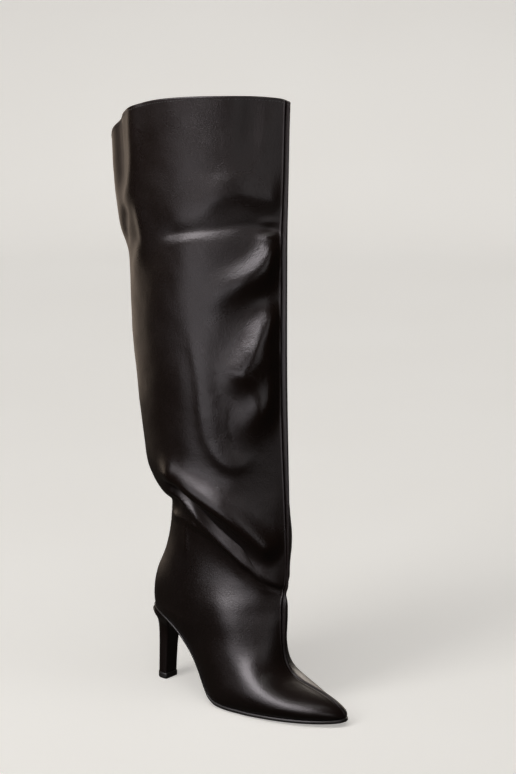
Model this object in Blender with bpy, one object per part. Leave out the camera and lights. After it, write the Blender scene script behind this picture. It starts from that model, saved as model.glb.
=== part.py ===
"""Over-the-knee pull-on boot, right foot: hollow upper, outsole, insole, slim heel and its top piece.

Metres. +Z up, toe toward -Y, the wearer's inner side toward +X. z = 0 is the floor: the top piece
under the heel and the flat of the forefoot both lie on it. Sizes below are in millimetres, and
"forward" is -Y from the middle of the heel's top piece.
"""

import bpy
import numpy as np

MM = 0.001

# --- named sizes, mm ---------------------------------------------------------------------------
WALL = 1.5  # the upper's leather and lining
GAP = 0.3  # between pieces that meet
RIB_HEIGHT = 2.6  # centre front seam, proud of the wall
RIB_FOOT = 2.5  # half width where it leaves the wall
RIB_TOP = 1.6  # half width along its top
RIB_SHOULDER = 0.9  # the top's edges, as a share of the height at its middle
RIB_SHARE = 0.22  # the most of a short toe section's side that the seam may take
RIB_GROWS = 3.0  # rows over which the seam rises from the toe's tip
SOLE_EDGE_OUT = 1.1  # how far the outsole's edge stands outside the upper
SOLE_FOREFOOT = 3.3  # outsole thickness at its edge, forefoot
SOLE_WAIST = 2.4  # outsole thickness in the waist and under the heel seat
SOLE_THINS = (60.0, 95.0)  # forward places between which it goes from the one to the other
SOLE_BELLY = 2.6  # how far the forefoot's middle hangs below its edge before it is made flat
BELLY_ROUND = 2.4  # power of the belly's shape across the sole
BELLY_FORWARD = (72.0, 104.0, 168.0, 205.0)  # where the belly starts, is full, begins to fade and ends
INSOLE_THICK = 2.2
INSOLE_IN = WALL + 0.7  # insole edge, inside the upper's outline
INSET_TOE, INSET_HEEL = 1.5, 1.6  # further inset, times INSOLE_IN, where the wall closes over its ends
INSET_ROWS = 1.3  # rows over which that fades
SEAT_SLOPE, TOE_SLOPE = 0.05, 0.18  # rise of the sole past the upper's back and past its tip
LIFT_THICK = 6.0  # rubber top piece under the heel
LIFT_BEVEL, LIFT_BEVEL_HIGH = 0.4, 0.6  # its worn lower edge
HEEL_CLEAR = 0.1  # more than GAP under the outsole, whose seat is slightly domed
ROUND_DEPTH, ROUND_TO_WIDTH = 0.62, 1.15  # the heel's round back: share of its depth, most of its half width
BREAST_CORNER = 1.4  # radius between the heel's sides and its flat front

# --- the upper: sections from the toe, round the instep, to the collar --------------------------
# Each section runs from its back (or, on the foot, from the sole's edge) to the centre front seam.
# back and front are (forward, height); line is the middle line's offset to the inner side;
# sole_out and sole_in are half widths at the sole's edge (0 once the section closes round the heel);
# out and in are the greatest half widths; nose_out and nose_in sharpen the front (1 round, 2 wedge);
# rise_out and rise_in lift the middle of each side, and lift_out and lift_in the stretch behind the seam.
COLUMNS = ("back_f", "back_z", "front_f", "front_z", "line", "sole_out", "sole_in",
           "out", "in", "nose_out", "nose_in", "rise_out", "rise_in", "lift_out", "lift_in")
SECTIONS = (
    #          back          front         line sole_out in  out   in    nose_out in   rise    lift
    ("tip",    221.5,   8.6, 221.5,   8.6, 3.0,  0.0,  0.0,  0.0,  0.0, 1.00, 1.20,  0,  0,   0,   0),
    ("toe1",   219.8,   8.3, 220.3,  12.2, 3.0,  5.0,  4.2,  5.6,  4.6, 1.00, 1.30,  0,  0,   0,   0),
    ("toe2",   215.5,   7.8, 218.2,  16.2, 3.0,  9.8,  7.6, 10.8,  8.2, 1.00, 1.50,  0,  0,   0,   0),
    ("toe3",   208.0,   7.3, 213.0,  20.6, 2.9, 15.6, 11.4, 17.4, 12.2, 1.02, 1.90,  0,  0,   0,   0),
    ("toe4",   197.5,   6.8, 203.6,  25.8, 2.8, 22.0, 15.6, 24.6, 16.6, 1.06, 2.50,  0,  0,   0,   0),
    ("toe5",   184.5,   6.3, 188.8,  30.3, 2.5, 27.8, 21.0, 31.2, 22.4, 1.10, 2.70,  0,  0,   0,   0),
    ("ball1",  168.5,   5.9, 173.2,  34.2, 2.0, 33.0, 27.8, 36.9, 30.2, 1.15, 2.40,  0,  0,   0,   0),
    ("ball2",  150.0,   5.5, 161.2,  39.3, 1.5, 36.8, 33.0, 41.4, 36.4, 1.20, 2.40,  0,  0,   0,   0),
    ("ball3",  130.5,   5.1, 154.8,  46.5, 1.0, 39.0, 35.8, 43.8, 39.6, 1.30, 2.50,  0,  0,   0,   0),
    ("ball4",  112.0,   5.0, 151.4,  55.0, 0.5, 39.4, 34.6, 44.0, 39.0, 1.40, 2.30,  0,  0,   0,   0),
    ("waist1",  95.5,   5.8, 150.4,  64.5, 0.2, 38.2, 31.2, 42.8, 37.0, 1.50, 2.00,  0,  0,   0,   0),
    ("waist2",  84.5,   9.8, 150.0,  73.0, 0.0, 35.8, 27.6, 40.4, 35.0, 1.55, 1.80,  0,  0,   0,   0),
    ("waist3",  75.5,  19.2, 150.0,  80.0, 0.0, 33.0, 25.0, 38.0, 33.4, 1.60, 1.65,  0,  0,   0,   0),
    ("waist4",  67.0,  31.4, 150.0,  85.5, 0.0, 30.4, 23.4, 36.2, 32.4, 1.60, 1.55,  0,  0,   0,   0),
    ("waist5",  57.5,  44.0, 150.0,  90.0, 0.0, 28.4, 23.0, 35.0, 32.0, 1.60, 1.50,  0,  0,   0,   0),
    ("seat1",   46.0,  55.5, 150.0,  94.0, 0.0, 26.8, 23.6, 34.2, 32.0, 1.60, 1.45,  0,  0,   0,   0),
    ("seat2",   33.5,  65.5, 150.0,  97.5, 0.0, 26.0, 24.4, 33.8, 32.2, 1.60, 1.45,  0,  0,   0,   0),
    ("seat3",   19.0,  72.8, 150.0, 100.5, 0.0, 23.8, 23.4, 33.6, 32.5, 1.60, 1.40,  0,  0,   0,   0),
    ("seat4",    6.0,  76.6, 150.0, 103.0, 0.0, 19.4, 19.2, 33.4, 32.7, 1.60, 1.40,  0,  0,   0,   0),
    ("seat5",   -4.0,  78.2, 150.0, 104.8, 0.0, 13.0, 13.0, 33.3, 32.8, 1.60, 1.40,  0,  0,   0,   0),
    ("seat6",   -9.5,  78.8, 150.0, 106.0, 0.0,  6.6,  6.6, 33.3, 32.9, 1.60, 1.35,  0,  0,   0,   0),
    ("heel",   -11.5,  79.2, 150.0, 107.0, 0.0,  0.0,  0.0, 33.3, 33.0, 1.60, 1.35,  0,  0,   1,   0),
    ("ankle1", -12.2,  88.0, 150.0, 108.2, 0.0,  0.0,  0.0, 33.5, 33.3, 1.60, 1.35,  0,  0,   4,   3),
    ("ankle2", -11.0, 100.0, 149.6, 109.5, 0.0,  0.0,  0.0, 33.8, 33.6, 1.60, 1.35,  0,  0,   8,   5),
    ("ankle3",  -6.5, 116.0, 149.2, 110.8, 0.0,  0.0,  0.0, 34.2, 34.2, 1.60, 1.30,  0,  0,  14,  10),
    ("ankle4",   2.0, 135.0, 148.8, 112.1, 0.0,  0.0,  0.0, 34.6, 35.4, 1.55, 1.25,  0,  0,  22,  16),
    ("ankle5",   8.5, 155.0, 148.4, 113.6, 0.0,  0.0,  0.0, 35.0, 36.6, 1.50, 1.20,  0,  0,  30,  21),
    ("ankle6",  11.8, 175.0, 148.0, 115.6, 0.0,  0.0,  0.0, 35.6, 38.4, 1.50, 1.15,  0,  0,  36,  26),
    ("crease",  13.0, 197.0, 148.2, 119.0, 0.0,  0.0,  0.0, 36.4, 40.4, 1.50, 1.12,  0,  0,  42,  29),
    ("roll",     2.5, 206.0, 150.2, 125.0, 0.0,  0.0,  0.0, 45.5, 49.0, 1.50, 1.08,  7,  5,  42,  29),
    ("slouch",  -9.0, 217.0, 150.8, 141.0, 0.0,  0.0,  0.0, 46.5, 50.0, 1.60, 1.06,  9,  6,  38,  26),
    ("shaft1", -15.0, 235.0, 151.2, 165.0, 0.0,  0.0,  0.0, 50.0, 50.5, 1.80, 1.15,  2,  2,  29,  20),
    ("shaft2", -20.0, 260.0, 151.0, 203.0, 0.0,  0.0,  0.0, 51.0, 50.5, 2.00, 1.50,  0,  0,  16,  10),
    ("shaft3", -26.0, 303.0, 149.5, 261.0, 0.0,  0.0,  0.0, 53.0, 52.0, 2.10, 1.95,  0,  0,   5,   4),
    ("shaft4", -31.0, 351.0, 147.8, 327.0, 0.0,  0.0,  0.0, 55.0, 53.5, 2.10, 2.10,  0,  0,   0,   0),
    ("shaft5", -34.0, 400.0, 147.0, 395.0, 0.0,  0.0,  0.0, 56.5, 55.0, 2.10, 2.10,  3,  2,   0,   0),
    ("knee1",  -34.0, 430.0, 146.6, 463.0, 0.0,  0.0,  0.0, 57.0, 55.5, 2.10, 2.10,  8,  5,   0,   0),
    ("knee2",  -46.0, 449.0, 147.0, 486.0, 0.0,  0.0,  0.0, 58.0, 56.5, 2.10, 2.10, 11,  7,   0,   0),
    ("thigh1", -52.0, 476.0, 147.5, 513.0, 0.0,  0.0,  0.0, 59.0, 57.5, 2.10, 2.10, 14,  9,   0,   0),
    ("thigh2", -56.0, 509.0, 148.0, 552.0, 0.0,  0.0,  0.0, 60.0, 58.5, 2.10, 2.10, 26, 16, -10,  -6),
    ("collar", -57.0, 533.0, 149.0, 585.0, 0.0,  0.0,  0.0, 60.0, 58.5, 2.10, 2.10, 39, 24, -23, -17),
)
NAMES = [row[0] for row in SECTIONS]
TABLE = np.array([row[1:] for row in SECTIONS], float)
HEEL_ROW = NAMES.index("heel")
BACK_RISE = 1.5  # power that keeps the rise small near the centre back

# --- the heel: U-shaped levels, from the top piece up to the seat -------------------------------
HEEL_LEVELS = (
    # back_z front_z back_f front_f half_width
    (6.3,   6.3,  -8.5,  5.4,  8.7),
    (18.0,  18.0, -8.2,  6.0,  8.8),
    (34.0,  34.0, -8.0,  7.0,  9.1),
    (50.0,  48.0, -7.9,  8.6,  9.8),
    (61.0,  57.0, -8.0, 11.0, 12.0),
    (68.5,  62.5, -8.5, 14.6, 16.5),
    (73.2,  66.8, -9.6, 18.6, 20.6),
)
HEEL_TOP = (-10.6, 21.5, 22.6)  # back, front and half width where it meets the outsole
LIFT = (-9.1, 5.9, 9.1)  # the top piece's outline: back, front, half width

# --- how finely the solids are divided ----------------------------------------------------------
SIDE_STEPS = 12  # columns of the upper's mesh on each side, without the seam's
CURVE_STEPS = 90  # points along a section before it is divided evenly
ARC_STEPS = 18  # round the heel's back
CORNER_STEPS = 4  # round each corner of its breast
ACROSS = (-1.0, -0.86, -0.66, -0.4, -0.1, 0.1, 0.4, 0.66, 0.86, 1.0)  # columns of the flat pieces
SHARP_EDGE = np.radians(38.0)

# --- finishes: colour, roughness, weight of the clear top coat -----------------------------------
FINISHES = {
    "upper": ((0.016, 0.014, 0.013), 0.34, 0.35),
    "heel": ((0.016, 0.014, 0.013), 0.30, 0.35),
    "insole": ((0.055, 0.045, 0.040), 0.65, 0.0),
    "outsole": ((0.022, 0.020, 0.019), 0.45, 0.1),
    "top_piece": ((0.014, 0.014, 0.014), 0.60, 0.0),
}


# --- the section table as a smooth curve ---------------------------------------------------------
def slopes(values):
    """Slopes for a curve through the rows that never overshoots them."""
    step = np.diff(values, axis=0)
    same = step[:-1] * step[1:] > 0
    total = np.where(same, step[:-1] + step[1:], 1.0)
    found = np.zeros_like(values)
    found[1:-1] = np.where(same, 2.0 * step[:-1] * step[1:] / total, 0.0)
    found[0] = step[0]
    found[-1] = step[-1]
    return found


SLOPES = slopes(TABLE)


def section_row(t):
    """The section table's columns at a place t along its rows."""
    i = min(int(t), len(TABLE) - 2)
    x = t - i
    a, b = TABLE[i], TABLE[i + 1]
    m, n = SLOPES[i], SLOPES[i + 1]
    return (a * (1 + 2 * x) * (1 - x) ** 2 + m * x * (1 - x) ** 2
            + b * x * x * (3 - 2 * x) + n * x * x * (x - 1))


def side_curve(row, side):
    """Points (x, forward, z) from the sole's edge or the back to the front seam, on one side."""
    v = dict(zip(COLUMNS, row))
    sign = -1 if side == "out" else 1
    half, edge, nose = v[side], v["sole_" + side], v["nose_" + side]
    start = np.arcsin(min(1.0, max(0.0, edge / half))) if half > 0 else 0.0
    turn = np.linspace(start, np.pi, CURVE_STEPS)
    along = (np.cos(start) - np.cos(turn)) / (np.cos(start) + 1.0)
    bulge = np.abs(np.sin(turn))
    ahead = turn > np.pi / 2
    wide = np.where(ahead, bulge ** nose, bulge)
    high = v["rise_" + side] * np.where(ahead, bulge, bulge ** BACK_RISE) + v["lift_" + side] * along * bulge
    return np.stack([
        v["line"] + sign * half * wide,
        v["back_f"] + (v["front_f"] - v["back_f"]) * along,
        v["back_z"] + (v["front_z"] - v["back_z"]) * along + high,
    ], axis=1)


def side_points(row, side):
    """The same curve at the mesh's columns: even steps, then the seam's foot, its top edge and its crown."""
    curve = side_curve(row, side)
    run = np.concatenate([[0.0], np.cumsum(np.linalg.norm(np.diff(curve, axis=0), axis=1))])
    whole = run[-1]
    foot = min(RIB_FOOT, RIB_SHARE * whole)
    edge = foot * RIB_TOP / RIB_FOOT
    at = np.concatenate([np.linspace(0.0, whole - foot, SIDE_STEPS + 1), [whole - edge, whole]])
    return np.stack([np.interp(at, run, curve[:, k]) for k in range(3)], axis=1)


def row_places():
    """Where along the table the mesh has rows: closer at the toe and up the leg."""
    toe = [0.0, 0.5, 1.0, 1.5, 2.0, 2.5]
    foot = [float(i) for i in range(3, HEEL_ROW + 1)]
    leg = [HEEL_ROW + 0.5 * k for k in range(1, 2 * (len(TABLE) - 1 - HEEL_ROW) + 1)]
    return toe + foot + leg


# --- making objects ------------------------------------------------------------------------------
def unit(vectors):
    return vectors / np.maximum(np.linalg.norm(vectors, axis=-1, keepdims=True), 1e-9)


def finish(name):
    """The piece's own material."""
    color, roughness, coat = FINISHES[name]
    material = bpy.data.materials.new(name)
    material.use_nodes = True
    shader = material.node_tree.nodes["Principled BSDF"]
    shader.inputs["Base Color"].default_value = (*color, 1.0)
    shader.inputs["Roughness"].default_value = roughness
    shader.inputs["Metallic"].default_value = 0.0
    shader.inputs["Coat Weight"].default_value = coat
    return material


def solid(name, points, faces):
    """A mesh object from points (x, forward, z) in mm and faces, turned to face outward."""
    world = np.array(points, float) * [1.0, -1.0, 1.0] * MM
    volume = sum(np.dot(world[f[0]], np.cross(world[f[k]], world[f[k + 1]]))
                 for f in faces for k in range(1, len(f) - 1))
    if volume < 0:
        faces = [tuple(reversed(face)) for face in faces]
    mesh = bpy.data.meshes.new(name)
    mesh.from_pydata([tuple(p) for p in world], [], faces)
    mesh.update()
    mesh.shade_smooth()
    mesh.set_sharp_from_angle(angle=SHARP_EDGE)
    mesh.materials.append(finish(name))
    obj = bpy.data.objects.new(name, mesh)
    obj.parent = bpy.data.objects["boot"]
    bpy.context.scene.collection.objects.link(obj)


class Skin:
    """Gathers points and faces from sheets of rows and columns. shared says which place's point to use."""

    def __init__(self, shared):
        self.shared = shared
        self.points, self.faces, self.index = [], [], {}

    def vertex(self, sheet, r, c):
        r, c = self.shared(r, c)
        key = (id(sheet), r, c)
        if key not in self.index:
            self.index[key] = len(self.points)
            self.points.append(sheet[r, c])
        return self.index[key]

    def patch(self, loop):
        """One face, without the corners that have run together."""
        kept = [v for k, v in enumerate(loop) if v != loop[k - 1]]
        if len(kept) > 2:
            self.faces.append(tuple(kept))

    def cover(self, sheet, turned=False):
        """The sheet's own faces."""
        for r in range(sheet.shape[0] - 1):
            for c in range(sheet.shape[1] - 1):
                corners = ((r, c), (r, c + 1), (r + 1, c + 1), (r + 1, c))
                loop = [self.vertex(sheet, *place) for place in corners]
                self.patch(loop[::-1] if turned else loop)

    def close(self, first, second, path):
        """Faces between two sheets along a path of places."""
        for a, b in zip(path[:-1], path[1:]):
            self.patch([self.vertex(first, *a), self.vertex(first, *b),
                        self.vertex(second, *b), self.vertex(second, *a)])


# --- the upper -----------------------------------------------------------------------------------
def sheet_of(places):
    """The wall's outer surface without the seam: rows, each with its columns from outer to inner side."""
    rows = []
    for t in places:
        row = section_row(t)
        rows.append(np.concatenate([side_points(row, "out"), side_points(row, "in")[-2::-1]]))
    return np.array(rows)


def normals_of(sheet, closed_from):
    """Unit outward directions of the sheet's points. From closed_from on, its two ends are one line."""
    across = np.gradient(sheet, axis=1)
    across[closed_from:, 0] = across[closed_from:, -1] = sheet[closed_from:, 1] - sheet[closed_from:, -2]
    found = unit(np.cross(across, np.gradient(sheet, axis=0)))
    # the crown of a row half way up the leg faces forward
    if found[len(sheet) // 2, sheet.shape[1] // 2, 1] < 0:
        found = -found
    # at the toe's tip every column is one point
    found[0] = [0.0, 1.0, 0.0]
    return found


def raise_seam(sheet, out, places):
    """The sheet with the centre front seam raised along its middle columns."""
    raised = sheet.copy()
    middle = sheet.shape[1] // 2
    for r, t in enumerate(places):
        ahead = unit(out[r, middle] * [0.0, 1.0, 1.0])
        for column, share in ((middle - 1, RIB_SHOULDER), (middle, 1.0), (middle + 1, RIB_SHOULDER)):
            raised[r, column] += ahead * RIB_HEIGHT * share * min(1.0, t / RIB_GROWS)
    return raised


def upper():
    places = row_places()
    closed_from = places.index(float(HEEL_ROW))
    base = sheet_of(places)
    last_row, last_column = base.shape[0] - 1, base.shape[1] - 1
    out = normals_of(base, closed_from)
    outside = raise_seam(base, out, places)

    # the wall's edges stay level: they are pushed in sideways only
    push = out.copy()
    for edge in (np.s_[:closed_from + 1, 0], np.s_[:closed_from + 1, last_column], np.s_[last_row]):
        push[edge] = unit(push[edge] * [1.0, 1.0, 0.0])
    inside = base - push * WALL
    inside[last_row, :, 2] = outside[last_row, :, 2]

    def shared(r, c):
        if r == 0 or (r >= closed_from and c == last_column):
            return r, 0
        return r, c

    skin = Skin(shared)
    skin.cover(outside)
    skin.cover(inside, turned=True)
    down_outer = [(r, 0) for r in range(closed_from + 1)]
    up_inner = [(r, last_column) for r in range(closed_from, -1, -1)]
    skin.close(outside, inside, down_outer + up_inner)
    skin.close(outside, inside, [(last_row, c) for c in range(last_column + 1)])
    solid("upper", skin.points, skin.faces)


# --- the sole and the insole ---------------------------------------------------------------------
def sole_outline(grow):
    """Matching points down both sides of the upper's lower edge, moved outward by grow: (outer, inner)."""
    places = np.array([t for t in row_places() if t <= HEEL_ROW])
    rows = [dict(zip(COLUMNS, section_row(t))) for t in places]
    outer = np.array([[v["line"] - v["sole_out"], v["back_f"]] for v in rows])
    inner = np.array([[v["line"] + v["sole_in"], v["back_f"]] for v in rows])
    loop = np.concatenate([outer, inner[-2:0:-1]])
    shift = np.full(len(places), float(grow))
    if grow < 0:
        near_toe = np.exp(-places / INSET_ROWS)
        near_heel = np.exp((places - HEEL_ROW) / INSET_ROWS)
        shift *= 1.0 + INSET_TOE * near_toe + INSET_HEEL * near_heel
    shift = np.concatenate([shift, shift[-2:0:-1]])
    ahead = np.roll(loop, -1, axis=0) - np.roll(loop, 1, axis=0)
    away = unit(np.stack([-ahead[:, 1], ahead[:, 0]], axis=1))
    if away[0, 1] < 0:
        away = -away
    grown = loop + away * shift[:, None]
    count = len(places)
    return grown[:count], np.concatenate([grown[:1], grown[count:][::-1], grown[count - 1:count]])


def feather_z(forward):
    """Height of the upper's lower edge at a forward distance."""
    places = np.linspace(0.0, HEEL_ROW, 8 * HEEL_ROW + 1)
    f, z = np.array([section_row(t)[:2] for t in places])[::-1].T
    behind = f[0] - np.minimum(forward, f[0])
    beyond = np.maximum(forward, f[-1]) - f[-1]
    return np.interp(forward, f, z) + SEAT_SLOPE * behind + TOE_SLOPE * beyond


def sole_top(forward, across):
    return feather_z(forward) - GAP


def sole_bottom(forward, across):
    """Underside: flat across in the waist and seat, hung down to the floor under the forefoot."""
    edge = sole_top(forward, across) - np.interp(forward, SOLE_THINS, (SOLE_WAIST, SOLE_FOREFOOT))
    belly = SOLE_BELLY * np.interp(forward, BELLY_FORWARD, (0.0, 1.0, 1.0, 0.0))
    hung = edge - belly * (1.0 - np.abs(across) ** BELLY_ROUND)
    return np.where(forward > BELLY_FORWARD[0], np.maximum(hung, 0.0), hung)


def insole_top(forward, across):
    return feather_z(forward) + INSOLE_THICK


def insole_bottom(forward, across):
    return feather_z(forward)


def plate(name, grow, top, bottom):
    """A flat piece inside the outline grown by grow, between two height functions of (forward, across)."""
    outer, inner = sole_outline(grow)
    share = ((np.array(ACROSS) + 1.0) / 2.0)[None, :, None]
    grid = outer[:, None, :] * (1 - share) + inner[:, None, :] * share
    forward = grid[..., 1]
    wide = np.broadcast_to(ACROSS, forward.shape)
    up = np.concatenate([grid, top(forward, wide)[..., None]], axis=2)
    down = np.concatenate([grid, bottom(forward, wide)[..., None]], axis=2)
    last_row, last_column = up.shape[0] - 1, up.shape[1] - 1

    skin = Skin(lambda r, c: (r, 0) if r in (0, last_row) else (r, c))
    skin.cover(up)
    skin.cover(down, turned=True)
    down_outer = [(r, 0) for r in range(last_row + 1)]
    up_inner = [(r, last_column) for r in range(last_row, -1, -1)]
    skin.close(up, down, down_outer + up_inner)
    solid(name, skin.points, skin.faces)


# --- the heel and its top piece ------------------------------------------------------------------
def u_outline(back, front, half):
    """A U in plan: round at the back, straight sides, a flat breast with small round corners."""
    deep = min(ROUND_DEPTH * (front - back), ROUND_TO_WIDTH * half)
    turn = np.linspace(0.0, np.pi, ARC_STEPS + 1)
    arc = np.stack([half * np.cos(turn), back + deep - deep * np.sin(turn)], axis=1)
    bend = np.linspace(0.0, np.pi / 2, CORNER_STEPS)
    corner = np.stack([-half + BREAST_CORNER * (1 - np.cos(bend)),
                       front - BREAST_CORNER * (1 - np.sin(bend))], axis=1)
    return np.concatenate([arc, corner, corner[::-1] * [-1.0, 1.0]])


def stack(name, rings):
    """A solid through U-shaped rings, bottom first. Strips across the last ring close a curved top."""
    count = len(rings[0])
    points = [point for ring in rings for point in ring]
    faces = []
    for r in range(len(rings) - 1):
        for c in range(count):
            a, b = r * count + c, r * count + (c + 1) % count
            faces.append((a, b, b + count, a + count))
    faces.append(tuple(reversed(range(count))))
    top, backmost = (len(rings) - 1) * count, ARC_STEPS // 2
    pairs = [(top + (backmost + k) % count, top + (backmost - k) % count) for k in range(count // 2 + 1)]
    for (a, d), (b, c) in zip(pairs[:-1], pairs[1:]):
        faces.append(tuple(dict.fromkeys((a, b, c, d))))
    solid(name, points, faces)


def heel():
    rings = []
    for back_z, front_z, back, front, half in HEEL_LEVELS:
        plan = u_outline(back, front, half)
        lean = (plan[:, 1] - back) / (front - back)
        rings.append(np.column_stack([plan, back_z + (front_z - back_z) * lean]))
    plan = u_outline(*HEEL_TOP)
    rings.append(np.column_stack([plan, sole_bottom(plan[:, 1], 0.0) - GAP - HEEL_CLEAR]))
    stack("heel", rings)


def top_piece():
    back, front, half = LIFT
    low = u_outline(back + LIFT_BEVEL, front - LIFT_BEVEL, half - LIFT_BEVEL)
    wide = u_outline(back, front, half)
    levels = ((low, 0.0), (wide, LIFT_BEVEL_HIGH), (wide, LIFT_THICK))
    stack("top_piece", [np.column_stack([plan, np.full(len(plan), z)]) for plan, z in levels])


def build():
    for obj in list(bpy.data.objects):
        bpy.data.objects.remove(obj, do_unlink=True)
    bpy.context.scene.collection.objects.link(bpy.data.objects.new("boot", None))
    upper()
    plate("outsole", SOLE_EDGE_OUT, sole_top, sole_bottom)
    plate("insole", -INSOLE_IN, insole_top, insole_bottom)
    heel()
    top_piece()


build()
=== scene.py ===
"""Looks of the over-the-knee boot: creased leather upper, lining, sole, heel, stitches and the studio.

The upper is made again here from the boot's own sections, finely divided, evened out and then
creased by the table FOLDS. Sizes are in millimetres until an object is made, and a point is
(x, forward, z): "forward" is -Y from the middle of the heel's top piece, and +X the wearer's inner side.
"""

import bpy
import numpy as np
from mathutils import Matrix, Vector, noise


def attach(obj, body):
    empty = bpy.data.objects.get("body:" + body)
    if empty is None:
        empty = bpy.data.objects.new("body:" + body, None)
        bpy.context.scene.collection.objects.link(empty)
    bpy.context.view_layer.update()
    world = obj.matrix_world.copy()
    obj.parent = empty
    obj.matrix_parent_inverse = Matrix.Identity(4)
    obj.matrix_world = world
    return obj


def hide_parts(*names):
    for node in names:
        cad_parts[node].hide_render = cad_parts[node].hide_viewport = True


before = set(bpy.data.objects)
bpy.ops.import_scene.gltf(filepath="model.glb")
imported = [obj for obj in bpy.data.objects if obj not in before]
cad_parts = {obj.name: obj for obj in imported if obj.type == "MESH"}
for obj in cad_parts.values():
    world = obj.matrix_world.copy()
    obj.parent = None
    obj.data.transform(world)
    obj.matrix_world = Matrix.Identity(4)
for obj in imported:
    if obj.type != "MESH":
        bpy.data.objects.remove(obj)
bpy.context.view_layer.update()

MM = 0.001
LEVEL = (1.0, 1.0, 0.0)  # keeps a direction's level part

# --- the boot's own sizes, as its solids have them ---
WALL = 1.5  # leather and lining together
GAP = 0.3  # between pieces that meet
SOLE_EDGE_OUT = 1.1  # how far the outsole stands out round the upper
SOLE_FOREFOOT = 3.3
SOLE_WAIST = 2.4
SOLE_THINS = (60.0, 95.0)  # forward distances between which it changes from one to the other
SOLE_BELLY, BELLY_ROUND = 2.6, 2.4  # how far the forefoot hangs down to the floor, and how squarely
BELLY_FORWARD = (72.0, 104.0, 168.0, 205.0)  # where that begins, is full, and ends
INSOLE_THICK = 2.2
INSOLE_IN = WALL + 0.7
INSET_TOE, INSET_HEEL = 1.5, 1.6  # how much further in the insole's ends lie, as shares
INSET_ROWS = 1.3
SEAT_SLOPE, TOE_SLOPE = 0.05, 0.18  # of the sole behind the seat and beyond the toe
HEEL_CLEAR = 0.1
ROUND_DEPTH, ROUND_TO_WIDTH = 0.62, 1.15
BREAST_CORNER = 2.2
BACK_RISE = 1.5

COLUMNS = ("back_f", "back_z", "front_f", "front_z", "line", "sole_out", "sole_in",
           "out", "in", "nose_out", "nose_in", "rise_out", "rise_in", "lift_out", "lift_in")
FOOT = (
    # back         front         line sole_out in  out   in    nose_out in
    # toe
    (221.5,   8.6, 221.5,   8.6, 3.0,  0.0,  0.0,  0.0,  0.0, 1.00, 1.20),
    (219.8,   8.3, 220.3,  12.2, 3.0,  5.0,  4.2,  5.6,  4.6, 1.00, 1.30),
    (215.5,   7.8, 218.2,  16.2, 3.0,  9.8,  7.6, 10.8,  8.2, 1.00, 1.50),
    (208.0,   7.3, 213.0,  20.6, 2.9, 15.6, 11.4, 17.4, 12.2, 1.02, 1.90),
    (197.5,   6.8, 203.6,  25.8, 2.8, 22.0, 15.6, 24.6, 16.6, 1.06, 2.50),
    (184.5,   6.3, 188.8,  30.3, 2.5, 27.8, 21.0, 31.2, 22.4, 1.10, 2.70),
    # ball
    (168.5,   5.9, 173.2,  34.2, 2.0, 33.0, 27.8, 36.9, 30.2, 1.15, 2.40),
    (150.0,   5.5, 161.2,  39.3, 1.5, 36.8, 33.0, 41.4, 36.4, 1.20, 2.40),
    (130.5,   5.1, 154.8,  46.5, 1.0, 39.0, 35.8, 43.8, 39.6, 1.30, 2.50),
    (112.0,   5.0, 151.4,  55.0, 0.5, 39.4, 34.6, 44.0, 39.0, 1.40, 2.30),
    # waist
    ( 95.5,   5.8, 150.4,  64.5, 0.2, 38.2, 31.2, 42.8, 37.0, 1.50, 2.00),
    ( 84.5,   9.8, 150.0,  73.0, 0.0, 35.8, 27.6, 40.4, 35.0, 1.55, 1.80),
    ( 75.5,  19.2, 150.0,  80.0, 0.0, 33.0, 25.0, 38.0, 33.4, 1.60, 1.65),
    ( 67.0,  31.4, 150.0,  85.5, 0.0, 30.4, 23.4, 36.2, 32.4, 1.60, 1.55),
    ( 57.5,  44.0, 150.0,  90.0, 0.0, 28.4, 23.0, 35.0, 32.0, 1.60, 1.50),
    # heel seat
    ( 46.0,  55.5, 150.0,  94.0, 0.0, 26.8, 23.6, 34.2, 32.0, 1.60, 1.45),
    ( 33.5,  65.5, 150.0,  97.5, 0.0, 26.0, 24.4, 33.8, 32.2, 1.60, 1.45),
    ( 19.0,  72.8, 150.0, 100.5, 0.0, 23.8, 23.4, 33.6, 32.5, 1.60, 1.40),
    (  6.0,  76.6, 150.0, 103.0, 0.0, 19.4, 19.2, 33.4, 32.7, 1.60, 1.40),
    ( -4.0,  78.2, 150.0, 104.8, 0.0, 13.0, 13.0, 33.3, 32.8, 1.60, 1.40),
    ( -9.5,  78.8, 150.0, 106.0, 0.0,  6.6,  6.6, 33.3, 32.9, 1.60, 1.35),
)
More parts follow.
